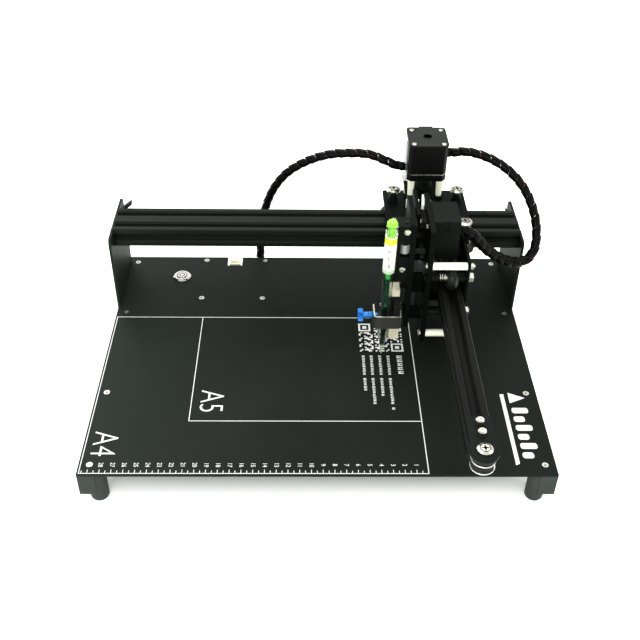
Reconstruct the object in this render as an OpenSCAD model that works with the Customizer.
// Desktop XY pen plotter: a bent sheet base with a writing bed, a cross beam,
// a carriage that rolls along it, a cantilever arm and a pen head that rolls
// along the arm. Origin: centre of the bed, at desk level. +X right, +Y to the
// rear, +Z up. Everything is drawn with the pen head at home and the pen down.

/* [Bed] */
// Width of the bed plate, left to right
bed_w = 410; // [400:5:430]
// Depth of the bed plate, front to back
bed_d = 318; // [318:2:330]
// Height of the writing surface above the desk
bed_z = 35; // [34:0.5:36]
// Thickness of the bed sheet
sheet_t = 2.5; // [2:0.1:2.6]
// Height of the end cheeks above the writing surface
cheek_h = 84; // [82:1:90]
// Front to back length of the end cheeks
cheek_d = 81; // [78:1:88]

/* [Beam and carriage] */
// Underside of the cross beam above the desk
beam_z = 103; // [103:0.1:103.3]
// Centre of the cross beam, behind the middle of the bed
beam_y = 101; // [100.8:0.1:101.2]
// Width of the carriage plate
plate_w = 84; // [80:1:90]
// Carriage plate thickness
plate_t = 3; // [2.5:0.1:3.2]
// Distance between the wheels along the beam
wheel_span = 65; // [63:0.5:66]
// Outer diameter of the grooved wheels
wheel_d = 24; // [23.8:0.1:24.1]

/* [Motors] */
// Side of the carriage motor
motor_w = 39; // [36:0.5:39]
// Height of the carriage motor
motor_h = 40; // [36:0.5:42]
// Side of the hidden arm motor
arm_motor_w = 27; // [26:0.5:27]

/* [Arm] */
// Centre line of the arm
arm_x = 124.5; // [124.3:0.1:124.6]
// Rear end of the arm
arm_rear = 60.5; // [60:0.1:60.5]
// Front end of the arm extrusion
arm_front = -191; // [-191.5:0.5:-186]
// Centre of the front belt roller
roller_y = -203.5; // [-205:0.5:-203.5]

/* [Pen] */
// Overall length of the pen
pen_len = 154; // [140:1:160]
// Diameter of the pen barrel
pen_d = 11; // [10.6:0.1:11]
// Lean of the pen from the vertical, in degrees
pen_lean = 0.6; // [0:0.1:1]

/* [Cables] */
// Outer diameter of the spiral wrapped cables
cable_d = 9.6; // [8:0.2:10]

/* [Hidden] */
$fn = 48;

run = 0.05;                        // radial clearance of a turning fit
gap = 0.3;                         // clearance between parts that pass
bed_bottom = bed_z - sheet_t;
rail_t = 3;
rail_bottom = bed_bottom - rail_t;
rail_x = bed_w / 2 - 13;
foot_x = bed_w / 2 - 15;
foot_y = bed_d / 2 - 8.5;
foot_d = 23.5;                     // front to back length of a foot
screw_x = bed_w / 2 - 9.5;
screw_rows = [-bed_d / 2 + 11.5, -58.5, 61, bed_d / 2 - 10];
board_x = -88.3;                   // centre of the controller board
board_y = 119.3;
board_pitch = [64, 68];            // between its four screws
board_top = 21.6;
button_at = [-144.3, 121.6];
cheek_y = bed_d / 2 - 91.5;        // front edge of the cheeks

beam_h = 20;
beam_w = 40;
beam_mid = beam_z + beam_h / 2;
beam_back = beam_y + beam_w / 2;
beam_front = beam_y - beam_w / 2;
wheel_r = wheel_d / 2;
bite = 2;                          // how far a wheel enters its slot
wheel_t = 10;
axle_r = 2.5;
car_x = 111;                       // carriage centre, with the carriage home
plate_z = beam_z + beam_h + 2.5;
plate_top = plate_z + plate_t;
plate_front = 62;
plate_back = 150;
axle_xs = [car_x - wheel_span / 2, car_x + wheel_span / 2];
axle_ys = [beam_front + bite - wheel_r, beam_back - bite + wheel_r];

motor_x = 108;
motor_y = axle_ys[1];
mount_top = plate_top + 15;        // top of the plate below the motor
motor_pitch = 29;                  // between its screw holes
motor_z = mount_top + 18;          // underside of its flange
belt_w = 6;
belt_t = 1.4;
pulley_r = 6.4;

arm_z = 91;
arm_mid = arm_z + 10;
nose_holes = [16.5, 28.5];         // from the front roller's axle
loop_r = 8.3;                      // pitch radius of the arm belt
loop_z = 98;                       // underside of the arm belt
drive_y = 71.3;                    // arm motor shaft
head_wheel_ys = [7, 45];
head_wheel_zs = [arm_z + bite - wheel_r, arm_z + 20 - bite + wheel_r];
left_x = 100;                      // outer faces of the head side plates
right_x = 140;
side_t = 5;
spacer_y = 3.2;                    // screws that tie the two side plates
spacer_zs = [57, 136.5];
spacer_r = 3.6;
rod_at = [78.8, 9];
rod_r = 2;
block_x = [69.5, 82.6];
block_zs = [[120, 27], [161, 19]]; // height above the desk, length
horn_at = [32, 143.8];             // servo shaft, Y and Z
horn_len = 23;
plate_screws = [[64, 145.5], [25, 165]];   // Y and Z, through the left plate
block_screws = [[79, 174], [77, 133]];     // X and Z, into the guide blocks
clamp_z = 84;
screw_y = -4.5;
pen_at = [63, -2.5, 35.6];         // tip of the pen

// Routes of the two wrapped cables
base_route = [[88.2, 131, 168], [80, 131.2, 168.6], [66, 134, 173.5],
    [52, 138, 177], [32, 142, 176], [10, 147, 171], [-12, 152, 160],
    [-31, 157, 144], [-45, 161, 123], [-54, 165, 98], [-59, 167, 70],
    [-61, 168, 46], [-61.6, 168, 33], [-62.2, 166.2, 23], [-63, 161.6, 16],
    [-64, 154.4, 11.2], [-65, 147, 9.5], [-65, 142.8, 9.5]];
head_route = [[129.8, 42, 150.4], [137, 42.2, 149.9], [145.2, 43.6, 145.6],
    [153.5, 46, 136], [163, 49.5, 124], [175, 53, 113.2], [187, 56, 105.3],
    [199, 59, 101.6], [209, 63, 103], [216.5, 70.5, 110], [218.5, 80, 121],
    [217, 90, 134], [212, 99.5, 147], [204.5, 107.5, 158.5],
    [194, 115, 168.5], [181, 121.5, 176.5], [166, 128.5, 181.2],
    [150, 135, 182.3], [137, 139.4, 179.2], [127.8, 140, 178]];

// ---- shared shapes --------------------------------------------------------

module rounded(w, h, r) {
    translate([r, 0]) square([w - 2 * r, h]);
    translate([0, r]) square([w, h - 2 * r]);
    for (x = [r, w - r], y = [r, h - r]) translate([x, y]) circle(r);
}

module chamfered(w, h, c) {
    polygon([[c, 0], [w - c, 0], [w, c], [w, h - c], [w - c, h], [c, h],
        [0, h - c], [0, c]]);
}

// The cut that makes one V slot, open towards +Y at the face
module slot_cut() {
    polygon([[-4.9, 0.1], [-3.1, -1.7], [-3.1, -2.1], [-5.5, -2.1],
        [-5.5, -3.8], [-3, -6.3], [3, -6.3], [5.5, -3.8], [5.5, -2.1],
        [3.1, -2.1], [3.1, -1.7], [4.9, 0.1]]);
}

// Cross section of a slotted extrusion, cells units of 20 mm wide
module slotted(cells) {
    w = 20 * cells;
    difference() {
        translate([-w / 2, -10]) chamfered(w, 20, 0.8);
        for (i = [0 : cells - 1]) translate([-w / 2 + 10 + 20 * i, 0]) {
            translate([0, 10]) slot_cut();
            rotate(180) translate([0, 10]) slot_cut();
            circle(2.1);
        }
        for (a = [90, -90]) rotate(a) translate([0, w / 2]) slot_cut();
        if (cells > 1) translate([-2.5, -6]) square([5, 12]);
    }
}

// A wheel with a 45 degree V edge, turning about Z, centred on its middle
module v_wheel() {
    h = wheel_t / 2;
    tip = 2.3;
    rotate_extrude() polygon([[axle_r + run, -h], [axle_r + run, h],
        [wheel_r - h + tip, h], [wheel_r, tip], [wheel_r, -tip],
        [wheel_r - h + tip, -h]]);
}

// A pan head screw pointing down, head on z = 0, with a cross recess
module pan_screw(r, length, head_r, head_h) {
    difference() {
        union() {
            translate([0, 0, -length]) cylinder(r = r, h = length);
            cylinder(r = head_r, h = head_h * 0.55);
            translate([0, 0, head_h * 0.55])
                cylinder(r1 = head_r, r2 = head_r * 0.62, h = head_h * 0.45);
        }
        for (a = [0, 90]) rotate(a) translate([-head_r / 2, -head_r / 10,
            head_h * 0.45]) cube([head_r, head_r / 5, head_h]);
    }
}

// A countersunk screw pointing down, top on z = 0
module flat_screw(length) {
    difference() {
        union() {
            translate([0, 0, -1.5]) cylinder(r1 = 1.45, r2 = 2.8, h = 1.5);
            translate([0, 0, -length]) cylinder(r = 1.45, h = length - 1.4);
        }
        translate([0, 0, -1]) cylinder(r = 1.1, h = 2, $fn = 6);
    }
}

module flat_screw_hole() {
    translate([0, 0, -1.55]) cylinder(r1 = 1.55, r2 = 2.95, h = 1.6);
    translate([0, 0, -9]) cylinder(r = 1.55, h = 9);
}

module hex_nut(r, flats, h) {
    difference() {
        cylinder(d = flats / cos(30), h = h, $fn = 6);
        translate([0, 0, -1]) cylinder(r = r, h = h + 2);
    }
}

// A closed belt band round two equal pulleys in line with Y
module band(r, y0, y1) {
    difference() {
        stadium(r + belt_t / 2, y0, y1);
        stadium(r - belt_t / 2, y0, y1);
    }
}

module stadium(r, y0, y1) {
    translate([-r, y0]) square([2 * r, y1 - y0]);
    for (y = [y0, y1]) translate([0, y]) circle(r);
}

// A toothed pulley with two flanges, belt centred on z = 0
module pulley(r, bore) {
    difference() {
        union() {
            cylinder(r = r, h = belt_w + 1, center = true);
            for (z = [-belt_w / 2 - 1.3, belt_w / 2 + 0.5])
                translate([0, 0, z]) cylinder(r = r + 1.7, h = 0.8);
        }
        cylinder(r = bore, h = 2 * belt_w, center = true);
    }
}

function unit(v) = v / norm(v);

// A point on the smooth curve through a route, between point i and i + 1
function curve_at(p, i, t) =
    let (a = p[max(i - 1, 0)], b = p[i], c = p[i + 1],
         d = p[min(i + 2, len(p) - 1)])
    0.5 * (2 * b + (c - a) * t + (2 * a - 5 * b + 4 * c - d) * t * t
        + (3 * b - a - 3 * c + d) * t * t * t);

// A round tube along a route, steps rings to each stretch, whose last ring
// faces along end
module tube(route, d, steps, sides, end) {
    path = concat([for (i = [0 : len(route) - 2], k = [0 : steps - 1])
        curve_at(route, i, k / steps)], [route[len(route) - 1]]);
    n = len(path);
    ring = [for (i = [0 : n - 1])
        let (t = unit(i == 0 ? [sign(route[1][0] - route[0][0]), 0, 0]
                 : i == n - 1 ? end
                 : path[i + 1] - path[i - 1]),
             u = unit(cross(t, [0, 1, 0.02])), v = cross(t, u))
        for (k = [0 : sides - 1]) path[i] + d / 2
            * (u * cos(360 * k / sides) + v * sin(360 * k / sides))];
    faces = concat([[for (k = [0 : sides - 1]) k]],
        [for (i = [0 : n - 2], k = [0 : sides - 1])
            let (m = (k + 1) % sides)
            [i * sides + k, (i + 1) * sides + k, (i + 1) * sides + m,
             i * sides + m]],
        [[for (k = [sides - 1 : -1 : 0]) (n - 1) * sides + k]]);
    polyhedron(ring, faces, convexity = 8);
}

// ---- base -----------------------------------------------------------------

module cheek() {
    translate([0, cheek_y, 0]) rotate([90, 0, 90]) linear_extrude(sheet_t)
        union() {
            translate([0, bed_bottom]) square([cheek_d, cheek_h / 2]);
            translate([0, bed_z]) rounded(cheek_d, cheek_h, 5);
        }
}

module bed_plate() {
    color([0.09, 0.1, 0.09]) difference() {
        union() {
            translate([-bed_w / 2, -bed_d / 2, bed_bottom])
                cube([bed_w, bed_d, sheet_t]);
            translate([-bed_w / 2, 0, 0]) cheek();
            translate([bed_w / 2 - sheet_t, 0, 0]) cheek();
        }
        for (x = [-screw_x, screw_x], y = screw_rows)
            translate([x, y, bed_z]) flat_screw_hole();
        for (x = [-0.5, 0.5], y = [-0.5, 0.5])
            translate([board_x + x * board_pitch[0],
                board_y + y * board_pitch[1], bed_z]) flat_screw_hole();
        translate([button_at[0], button_at[1], 0])
            cylinder(r = 8.05, h = 60);
        translate([-97, bed_d / 2 - 15.5, 0]) cube([16, 20, 60]);
        for (y = [-10, 10]) translate([0, beam_y + y, beam_mid])
            rotate([0, 90, 0]) cylinder(r = 2.1, h = 500, center = true);
    }
}

module side_rails() {
    color([0.12, 0.12, 0.12]) difference() {
        for (x = [-rail_x, rail_x])
            translate([x - 8, -bed_d / 2 + foot_d, rail_bottom])
                cube([16, bed_d - 2 * foot_d, rail_t]);
        for (x = [-screw_x, screw_x], i = [1, 2])
            translate([x, screw_rows[i], 0]) cylinder(r = 1.5, h = 60);
    }
}

module foot(sx, sy) {
    color([0.16, 0.16, 0.17]) difference() {
        union() {
            translate([sx * foot_x, sy * foot_y, 0]) {
                cylinder(r1 = 7.2, r2 = 8, h = 1.5);
                translate([0, 0, 1.5]) cylinder(r = 8, h = bed_bottom - 1.5);
            }
            scale([sx, sy, 1]) translate([foot_x, bed_d / 2 - foot_d, 10])
                cube([bed_w / 2 - foot_x, foot_d, bed_bottom - 10]);
        }
        translate([sx * screw_x, sy > 0 ? screw_rows[3] : screw_rows[0], 18])
            cylinder(r = 1.5, h = 20);
    }
}
module front_left_foot() { foot(-1, -1); }
module front_right_foot() { foot(1, -1); }
module rear_left_foot() { foot(-1, 1); }
module rear_right_foot() { foot(1, 1); }

module bed_screws() {
    color("silver") {
        for (x = [-screw_x, screw_x], i = [0 : 3])
            translate([x, screw_rows[i], bed_z - 0.05])
                flat_screw(i == 0 || i == 3 ? 14 : 5.4);
        for (x = [-0.5, 0.5], y = [-0.5, 0.5])
            translate([board_x + x * board_pitch[0],
                board_y + y * board_pitch[1], bed_z - 0.05]) flat_screw(17);
    }
}

module controller_board() {
    color([0.05, 0.2, 0.12]) {
        difference() {
            translate([board_x - 36, board_y - 38, board_top - 1.6])
                cube([72, 76, 1.6]);
            for (x = [-0.5, 0.5], y = [-0.5, 0.5])
                translate([board_x + x * board_pitch[0],
                    board_y + y * board_pitch[1], 0]) cylinder(r = 1.6, h = 40);
        }
        for (i = [0 : 2]) translate([board_x - 24 + 18 * i, board_y - 22,
            board_top - 10]) cube([11, 16, 8.4]);
        translate([board_x - 8, board_y + 4, board_top - 3.2])
            cube([12, 12, 1.6]);
        translate([board_x + 16, board_y + 12, board_top - 17])
            cube([14.5, 11, 15.4]);
    }
}

module board_spacers() {
    color("wheat") for (x = [-0.5, 0.5], y = [-0.5, 0.5])
        translate([board_x + x * board_pitch[0],
            board_y + y * board_pitch[1], board_top]) difference() {
                cylinder(r = 3, h = bed_bottom - board_top);
                translate([0, 0, -1]) cylinder(r = 1.6, h = 20);
            }
}

module wire_header() {
    color("wheat") translate([-95, bed_d / 2 - 13, board_top])
        difference() {
            cube([12, 9, 14]);
            translate([1.2, 1.2, 6]) cube([9.6, 6.6, 10]);
        }
}

module usb_socket() {
    color("silver") translate([board_x - 29, board_y + 22, board_top - 12.4])
        difference() {
            cube([12, 16, 10.8]);
            translate([1.4, 4, 1.2]) cube([9.2, 14, 8.4]);
        }
}

module power_socket() {
    color([0.1, 0.1, 0.1]) translate([board_x - 12, board_y + 24,
        board_top - 12.6]) difference() {
            cube([9, 14, 11]);
            translate([4.5, 3, 5]) rotate([-90, 0, 0])
                cylinder(r = 3.2, h = 15);
        }
}

module button_housing() {
    color("silver") translate([button_at[0], button_at[1], 0]) difference() {
        union() {
            translate([0, 0, 14]) cylinder(r = 8, h = bed_z - 14);
            translate([0, 0, bed_z]) cylinder(r = 9.5, h = 1.4);
            translate([0, 0, bed_z + 1.4])
                cylinder(r1 = 9.5, r2 = 8.2, h = 1.1);
            translate([0, 0, bed_bottom - 3.2])
                cylinder(r = 11, h = 3.2, $fn = 6);
        }
        translate([0, 0, bed_z - 8]) cylinder(r = 6.05, h = 20);
    }
}

module button_cap() {
    color("silver") translate([button_at[0], button_at[1], bed_z - 5]) {
        cylinder(r = 6, h = 7.4);
        translate([0, 0, 7.4]) cylinder(r1 = 6, r2 = 5.2, h = 0.8);
    }
}

module x_beam() {
    color([0.1, 0.11, 0.1]) translate([-bed_w / 2 + sheet_t, beam_y,
        beam_mid]) rotate([90, 0, 90])
            linear_extrude(bed_w - 2 * sheet_t) slotted(2);
}

module beam_end_screws() {
    color("silver") for (s = [-1, 1], y = [-10, 10])
        translate([s * bed_w / 2, beam_y + y, beam_mid])
            rotate([0, s * 90, 0]) pan_screw(2, 12, 3.6, 2);
}

// The toothed belt lies on edge in the rear slot; its ends turn up and lean in
module x_belt() {
    depth = 3;
    color([0.07, 0.07, 0.07]) {
        translate([-196, beam_back - depth - belt_t, beam_mid - belt_w / 2])
            cube([392, belt_t, belt_w]);
        for (s = [0, 1]) mirror([s, 0, 0]) translate([-201.2, beam_back + 6,
            beam_mid + 1.2]) rotate([90, 0, 0]) linear_extrude(5.6)
                polygon(concat([[0, 0], [belt_t, 0], [belt_t, 2.4]],
                    s == 0 ? [[12.6, 11.8], [12.2, 15]] : [[6.6, 7], [5.8, 8]],
                    [[0, s == 0 ? 5.4 : 3.4]]));
    }
}

module belt_clamps() {
    color([0.12, 0.12, 0.12]) for (s = [0, 1]) mirror([s, 0, 0])
        translate([-202.3, beam_back, beam_mid - 8]) cube([5.3, 3.5, 8.7]);
}

// ---- cross carriage -------------------------------------------------------

module carriage_plate() {
    color([0.12, 0.13, 0.12]) difference() {
        translate([car_x - plate_w / 2, plate_front, plate_z])
            linear_extrude(plate_t)
                rounded(plate_w, plate_back - plate_front, 3);
        translate([motor_x - 10, motor_y - 21.5, 0]) cube([20, 60, 200]);
        for (x = axle_xs, y = axle_ys)
            translate([x, y, 0]) cylinder(r = axle_r + 0.02, h = 200);
    }
}

module wheel_axles() {
    color("silver") for (x = axle_xs, y = axle_ys) translate([x, y, 0]) {
        translate([0, 0, plate_top + 11]) pan_screw(axle_r, plate_top + 11
            - (beam_mid - 9.6), 7.2, 3.2);
        translate([0, 0, beam_mid - 10]) hex_nut(axle_r, 8, 4.4);
    }
}

// Collars above and below the plate set the height of each wheel
module axle_collars() {
    color([0.25, 0.25, 0.26]) for (x = axle_xs, y = axle_ys)
        translate([x, y, 0]) difference() {
            union() {
                translate([0, 0, plate_top]) cylinder(r = 5, h = 4);
                translate([0, 0, plate_top + 4]) cylinder(r = 4, h = 7);
                translate([0, 0, beam_mid + wheel_t / 2 + gap])
                    cylinder(r = 4, h = plate_z - beam_mid - wheel_t / 2 - gap);
            }
            cylinder(r = axle_r + 0.02, h = 200);
        }
}

module beam_wheel(i, j) {
    color([0.14, 0.14, 0.15]) translate([axle_xs[i], axle_ys[j], beam_mid])
        v_wheel();
}
module front_left_wheel() { beam_wheel(0, 0); }
module front_right_wheel() { beam_wheel(1, 0); }
module rear_left_wheel() { beam_wheel(0, 1); }
module rear_right_wheel() { beam_wheel(1, 1); }

// Plate under the motor, on four sleeves
module motor_mount() {
    color([0.12, 0.13, 0.12]) translate([motor_x, motor_y, mount_top - 2])
        difference() {
            translate([-18.7, -20, 0]) linear_extrude(2)
                rounded(37.4, 39, 2);
            translate([0, 0, -1]) cylinder(r = 4, h = 4);
            for (u = [-1, 1], v = [-1, 1])
                translate([u * 14.2, v * motor_pitch / 2, -1])
                    cylinder(r = 1.6, h = 4);
        }
}

module motor_standoffs() {
    color("wheat") for (u = [-1, 1], v = [-1, 1])
        translate([motor_x + u * 14.2, motor_y + v * motor_pitch / 2, 0])
            difference() {
                union() {
                    translate([0, 0, plate_top])
                        cylinder(r = 3.4, h = mount_top - 2 - plate_top);
                    translate([0, 0, mount_top])
                        cylinder(r1 = 2.8, r2 = 3.6, h = motor_z - mount_top);
                }
                cylinder(r = 1.6, h = 300);
            }
}

module motor_block(w, h, flange_h, corner) {
    translate([-w / 2, -w / 2, 0]) {
        linear_extrude(flange_h) chamfered(w, w, corner);
        translate([0.6, 0.6, flange_h]) linear_extrude(h - 2 * flange_h)
            chamfered(w - 1.2, w - 1.2, corner);
        translate([0, 0, h - flange_h]) linear_extrude(flange_h)
            chamfered(w, w, corner);
    }
}

module x_motor() {
    color([0.1, 0.1, 0.1]) translate([motor_x, motor_y, motor_z])
        difference() {
            union() {
                motor_block(motor_w, motor_h, 7, 2.4);
                translate([-7, motor_w / 2 - 1, motor_h - 6]) cube([14, 3.4, 6]);
            }
            translate([0, 0, -1]) cylinder(r = 2.55, h = motor_h + 2);
            translate([0, 0, motor_h - 2]) cylinder(r = 4, h = 4);
            for (u = [-1, 1], v = [-1, 1])
                translate([u * motor_pitch / 2, v * motor_pitch / 2, -1])
                    cylinder(r = 1.5, h = motor_h + 2);
        }
}

module x_drive_pulley() {
    color([0.6, 0.6, 0.6]) translate([motor_x, motor_y, 0]) {
        translate([0, 0, beam_mid - 5]) cylinder(r = 2.5,
            h = motor_z + motor_h - 1.5 - beam_mid + 5);
        translate([0, 0, beam_mid]) pulley(pulley_r - 0.05, 2.5);
        translate([0, 0, mount_top + 1.5]) difference() {
            cylinder(r = 8.5, h = 12);
            translate([0, 0, -1]) cylinder(r = 2.5, h = 20);
            translate([0, 0, 6]) rotate([90, 0, 0]) cylinder(r = 1.5, h = 10);
        }
    }
}

// The belt leaves the slot on both sides and wraps the drive pulley
module x_belt_loop() {
    r = pulley_r + belt_t / 2;
    foot = [19.5, -motor_y + beam_back + 1];
    lift = 132;                    // where the belt meets the pulley, degrees
    steps = 10;
    outer = [for (i = [0 : steps]) let (a = lift - (2 * lift - 180) * i / steps)
        (r + belt_t / 2) * [cos(a), sin(a)]];
    inner = [for (i = [steps : -1 : 0])
        let (a = lift - (2 * lift - 180) * i / steps)
        (r - belt_t / 2) * [cos(a), sin(a)]];
    color([0.07, 0.07, 0.07]) translate([motor_x, motor_y,
        beam_mid - belt_w / 2]) linear_extrude(belt_w)
            polygon(concat([[-foot[0] - 0.9, foot[1] + 1.1]], outer,
                [[foot[0] + 0.9, foot[1] + 1.1], foot], inner,
                [[-foot[0], foot[1]]]));
}

// Block that carries the arm and its motor below the carriage plate
module arm_bracket() {
    x = arm_x - 13.5;
    deep = beam_front - gap - arm_rear;
    color([0.12, 0.12, 0.12]) {
        translate([x, arm_rear, arm_z + 15])
            cube([19.5, deep, plate_z - arm_z - 15]);
        translate([x, arm_rear, arm_z]) cube([3.3, deep, 15]);
    }
}

module y_motor_plate() {
    color([0.12, 0.12, 0.12]) difference() {
        translate([arm_x - 14, drive_y - 13.5, arm_z - 3]) cube([28, 40, 3]);
        translate([arm_x, drive_y, 0]) cylinder(r = 11.2, h = 200);
    }
}

module y_motor() {
    h = 34;
    color([0.1, 0.1, 0.1]) translate([arm_x, drive_y, arm_z - 3 - h])
        difference() {
            union() {
                motor_block(arm_motor_w, h, 6, 3.4);
                translate([0, 0, h - 1]) cylinder(r = 11, h = 3);
            }
            translate([0, 0, 3]) cylinder(r = 2.55, h = 60);
        }
}

module y_drive_pulley() {
    color([0.6, 0.6, 0.6]) translate([arm_x, drive_y, 0]) {
        translate([0, 0, arm_z - 20]) cylinder(r = 2.5, h = loop_z + 6.5
            - arm_z + 20);
        translate([0, 0, loop_z + belt_w / 2])
            pulley(loop_r - belt_t / 2 - 0.05, 2.5);
    }
}

module arm_beam() {
    color([0.1, 0.11, 0.1]) translate([arm_x, arm_rear, arm_mid])
        rotate([90, 0, 0]) linear_extrude(arm_rear - arm_front) slotted(1);
}

// Round nosed plate on top of the arm carries the front belt roller
module arm_nose_plate() {
    color([0.1, 0.1, 0.1]) translate([arm_x, roller_y, arm_z + 20])
        difference() {
            linear_extrude(3) {
                circle(11.7);
                translate([-10, 0]) square([20, 36]);
                translate([-11.7, 0]) square([23.4, 8]);
            }
            translate([0, 0, -1]) cylinder(r = 2.52, h = 5);
            for (y = nose_holes) translate([0, y, -1])
                cylinder(r = 1.6, h = 5);
        }
}

module arm_screws() {
    color("silver") translate([arm_x, roller_y, arm_z + 23]) {
        pan_screw(2.5, 22, 6.3, 3);
        for (y = nose_holes) translate([0, y, 0]) {
            cylinder(r = 2.8, h = 3);
            translate([0, 0, 3]) pan_screw(1.5, 10, 3.4, 2.2);
        }
    }
    color("silver") translate([arm_x, roller_y, loop_z - 5.8])
        hex_nut(2.5, 8, 4);
}

module belt_roller() {
    h = 14;
    color([0.75, 0.75, 0.73]) translate([arm_x, roller_y, loop_z - 1.4])
        difference() {
            union() {
                cylinder(r = loop_r - belt_t / 2 - 0.05, h = h);
                for (z = [0, belt_w + 1.8]) translate([0, 0, z])
                    cylinder(r = loop_r + 1.5, h = 1);
                translate([0, 0, belt_w + 2.8]) cylinder(r = 9, h = h
                    - belt_w - 2.8);
            }
            translate([0, 0, -1]) cylinder(r = 2.5 + run, h = h + 2);
        }
}

module y_belt() {
    color([0.07, 0.07, 0.07]) translate([arm_x, 0, loop_z])
        linear_extrude(belt_w) band(loop_r, roller_y, drive_y);
}

// ---- pen head -------------------------------------------------------------

module left_side_plate() {
    low = 48;
    color([0.11, 0.12, 0.11]) difference() {
        translate([left_x, 0.5, low]) union() {
            cube([side_t, 58, 127]);
            translate([0, 50, 83]) cube([side_t, 18.5, 44]);
        }
        for (y = head_wheel_ys, z = head_wheel_zs) translate([0, y, z])
            rotate([0, 90, 0]) cylinder(r = axle_r + 0.02, h = 300);
        for (z = spacer_zs) translate([0, spacer_y, z])
            rotate([0, 90, 0]) cylinder(r = 1.62, h = 300);
        for (p = plate_screws) translate([0, p[0], p[1]])
            rotate([0, 90, 0]) cylinder(r = 1.52, h = 300);
        translate([0, horn_at[0], horn_at[1]]) rotate([0, 90, 0])
            cylinder(r = 4.5, h = 300);
    }
}

module right_side_plate() {
    color([0.11, 0.12, 0.11]) difference() {
        translate([right_x - 3, 0.5, 50]) cube([3, 55, 92.5]);
        for (y = head_wheel_ys, z = head_wheel_zs) translate([0, y, z])
            rotate([0, 90, 0]) cylinder(r = axle_r + 0.02, h = 300);
        for (z = spacer_zs) translate([0, spacer_y, z])
            rotate([0, 90, 0]) cylinder(r = 1.62, h = 300);
    }
}

module nylon_spacers() {
    color([0.92, 0.93, 0.8]) for (z = spacer_zs)
        translate([left_x + side_t, spacer_y, z]) rotate([0, 90, 0])
            difference() {
                cylinder(r = spacer_r, h = right_x - left_x - side_t - 3);
                translate([0, 0, -1]) cylinder(r = 1.62, h = 60);
            }
}

// Through screws of the head, with their nuts on the right
module head_axles() {
    span = right_x - left_x;
    color("silver") {
        for (y = head_wheel_ys, z = head_wheel_zs) translate([0, y, z])
            rotate([0, 90, 0]) {
                translate([0, 0, left_x]) rotate([180, 0, 0])
                    pan_screw(axle_r, span + 5, 3.8, 2.2);
                translate([0, 0, right_x]) hex_nut(axle_r, 8, 4.4);
                translate([0, 0, left_x + side_t]) collar(14.2);
                translate([0, 0, arm_x + wheel_t / 2 + gap])
                    collar(right_x - 3 - arm_x - wheel_t / 2 - gap);
            }
        for (p = plate_screws) translate([left_x, p[0], p[1]])
            rotate([0, -90, 0]) pan_screw(1.5, side_t + 2, 2.6, 1.8);
        for (p = block_screws) translate([p[0], 2.5, p[1]])
            rotate([90, 0, 0]) pan_screw(1.4, 3.5, 3, 2.2);
        for (z = spacer_zs) translate([0, spacer_y, z]) rotate([0, 90, 0]) {
            translate([0, 0, left_x]) rotate([180, 0, 0])
                pan_screw(1.6, span + 4, 3.2, 2.2);
            translate([0, 0, right_x]) hex_nut(1.6, 5.5, 2.6);
        }
    }
}

module collar(h) {
    difference() {
        cylinder(r = 4, h = h);
        translate([0, 0, -1]) cylinder(r = axle_r + 0.01, h = h + 2);
    }
}

module head_wheel(i, j) {
    color([0.14, 0.14, 0.15]) translate([arm_x, head_wheel_ys[i],
        head_wheel_zs[j]]) rotate([0, 90, 0]) v_wheel();
}
module upper_front_roller() { head_wheel(0, 1); }
module upper_rear_roller() { head_wheel(1, 1); }
module lower_front_roller() { head_wheel(0, 0); }
module lower_rear_roller() { head_wheel(1, 0); }

module lift_servo() {
    color([0.13, 0.13, 0.13]) difference() {
        translate([left_x + side_t, 17.5, 134]) cube([24.5, 35, 41]);
        translate([115, 17, 165]) cube([4.5, 1.5, 11]);
        translate([left_x, plate_screws[1][0], plate_screws[1][1]])
            rotate([0, 90, 0]) cylinder(r = 1.52, h = side_t + 3);
        translate([0, horn_at[0], horn_at[1]]) rotate([0, 90, 0])
            cylinder(r = 3.05, h = left_x + side_t + 12);
    }
}

module servo_horn() {
    color([0.9, 0.9, 0.88]) translate([0, horn_at[0], horn_at[1]]) {
        rotate([0, 90, 0]) translate([0, 0, left_x - 3])
            cylinder(r = 3, h = 18);
        translate([left_x - 7, 0, 0]) rotate([90, 0, 90]) linear_extrude(4) {
            circle(5);
            translate([-horn_len, 0]) circle(3);
            polygon([[0, 5], [0, -5], [-horn_len, -3], [-horn_len, 3]]);
        }
    }
}

// Its tongue reaches into the arm's side slot and grips the belt
module belt_clip() {
    x = left_x + side_t;
    face = arm_x - 10 - gap;
    tip = arm_x - loop_r - belt_t / 2 - gap;
    color([0.12, 0.12, 0.12]) translate([x, 18, loop_z - 1.5]) {
        cube([face - x, 16, 9]);
        translate([0, 0, 1.9]) cube([tip - x, 16, 5.2]);
    }
}

// Upright that carries the pen lift, tied to the side plate by webs, with a
// fin beside it
module lift_guide() {
    x = block_x[1];
    color([0.11, 0.12, 0.11]) {
        difference() {
            union() {
                translate([x, 1, 66]) cube([5, 23, 116]);
                translate([x, 24, 110]) cube([5, 28.5, 72]);
            }
            translate([x - 1, 4, 145]) cube([7, 12, 16]);
        }
        translate([x + 5, 14, 66]) cube([left_x - x - 5, 10, 9]);
        translate([x + 5, 18, 95]) cube([left_x - x - 5, 6, 20]);
        translate([x + 5, 49.5, 110]) cube([left_x - x - 5, 3, 18]);
        translate([x + 7.6, 30, 160]) cube([3.6, 45, 15]);
        translate([x + 5, 30, 155]) cube([left_x - x - 5, 8, 6]);
    }
}

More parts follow.
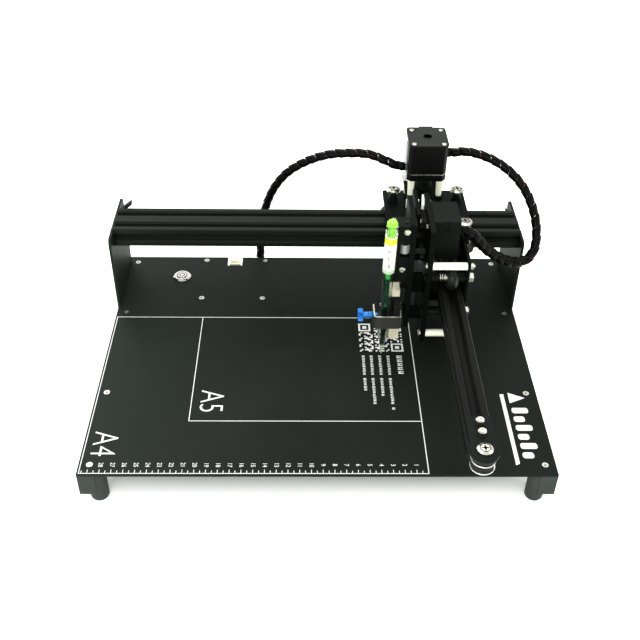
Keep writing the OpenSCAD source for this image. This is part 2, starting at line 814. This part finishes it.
module guide_blocks() {
    w = block_x[1] - block_x[0];
    color([0.12, 0.12, 0.12]) difference() {
        union() {
            for (b = block_zs)
                translate([block_x[0], 2.5, b[0]]) cube([w, 15.5, b[1]]);
            translate([block_x[0], 2.5, 147]) cube([4.4, 15.5, 14]);
        }
        translate([rod_at[0], rod_at[1], 0])
            cylinder(r = rod_r + run, h = 200);
        for (p = block_screws) translate([p[0], 2, p[1]])
            rotate([-90, 0, 0]) cylinder(r = 1.42, h = 4.2);
    }
}

// Rod that rides in the guide blocks, with the collar and lift finger
module lift_rod() {
    color("silver") translate([rod_at[0], rod_at[1], 0]) {
        translate([0, 0, 98]) cylinder(r = rod_r, h = 83);
        translate([0, 0, 147.3]) cylinder(r = 4, h = 3);
        translate([0, -2, 147.3]) cube([left_x - rod_at[0] - 2, 5, 3]);
    }
}

module lift_spring() {
    color("silver") translate([rod_at[0], rod_at[1], 150.3]) difference() {
        cylinder(r = 4.6, h = 10.7);
        translate([0, 0, -1]) cylinder(r = 3.2, h = 20);
    }
}

module pen_hole(extra) {
    translate(pen_at) rotate([0, pen_lean, 0]) translate([0, 0, 12])
        cylinder(r = pen_d / 2 + extra, h = 200);
}

module pen_slider() {
    x1 = block_x[1] - gap;
    color([0.88, 0.86, 0.7]) difference() {
        union() {
            translate([66.5, 2, 94.5]) cube([x1 - 66.5, 13, 17]);
            translate([63.5, -4.5, 56]) cube([14.5, 15, 14]);
            translate([70, 8, 56]) cube([x1 - 70, 7, 55.5]);
        }
        pen_hole(0.02);
        translate([rod_at[0], rod_at[1], 98]) cylinder(r = rod_r, h = 60);
    }
}

// Sheet bracket bent round the pen, open at the rear left
module pen_clamp() {
    z = clamp_z - 7;
    left = 52.4;
    right = 78.6;
    color("silver") difference() {
        union() {
            translate([left, -15.5, z]) cube([right - left, 1.5, 14]);
            translate([left, -15.5, z]) cube([1.5, 20, 14]);
            translate([right - 1.5, -15.5, z]) cube([1.5, 23.5, 14]);
            translate([left - 4, screw_y, clamp_z + 1]) rotate([0, 90, 0])
                cylinder(r = 3.2, h = 4);
        }
        translate([0, screw_y, clamp_z + 1]) rotate([0, 90, 0])
            cylinder(r = 2 + run, h = 60);
    }
}

module thumbscrew() {
    color([0.1, 0.4, 0.75]) translate([0, screw_y, clamp_z + 1])
        rotate([0, 90, 0]) {
            difference() {
                translate([0, 0, 38]) cylinder(r = 6.2, h = 5);
                for (a = [0 : 30 : 330]) rotate(a) translate([6.5, 0, 37])
                    cylinder(r = 0.8, h = 7);
            }
            translate([0, 0, 42]) cylinder(r = 3.1, h = 6.1);
            translate([0, 0, 46]) cylinder(r = 2, h = 11);
        }
}

module pen_barrel() {
    r = pen_d / 2;
    color([0.85, 0.95, 0.85]) translate(pen_at) rotate([0, pen_lean, 0])
        rotate_extrude() polygon([[0, 0], [0.4, 0], [0.9, 4], [2.2, 12],
            [4.6, 22], [r, 26], [r, pen_len - 4], [r - 1.6, pen_len - 0.8],
            [r - 3, pen_len], [0, pen_len]]);
}

// ---- cables ---------------------------------------------------------------

module base_cable() {
    color([0.08, 0.08, 0.08]) tube(base_route, cable_d, 3, 10, [0, -1, 0]);
}

module head_cable() {
    color([0.08, 0.08, 0.08]) tube(head_route, cable_d, 3, 10, [-1, 0, 0]);
}

bed_plate();
side_rails();
front_left_foot();
front_right_foot();
rear_left_foot();
rear_right_foot();
bed_screws();
controller_board();
board_spacers();
wire_header();
usb_socket();
power_socket();
button_housing();
button_cap();
x_beam();
beam_end_screws();
x_belt();
belt_clamps();
carriage_plate();
wheel_axles();
axle_collars();
front_left_wheel();
front_right_wheel();
rear_left_wheel();
rear_right_wheel();
motor_mount();
motor_standoffs();
x_motor();
x_drive_pulley();
x_belt_loop();
arm_bracket();
y_motor_plate();
y_motor();
y_drive_pulley();
arm_beam();
arm_nose_plate();
arm_screws();
belt_roller();
y_belt();
left_side_plate();
right_side_plate();
nylon_spacers();
head_axles();
upper_front_roller();
upper_rear_roller();
lower_front_roller();
lower_rear_roller();
lift_servo();
servo_horn();
belt_clip();
lift_guide();
guide_blocks();
lift_rod();
lift_spring();
pen_slider();
pen_clamp();
thumbscrew();
pen_barrel();
base_cable();
head_cable();
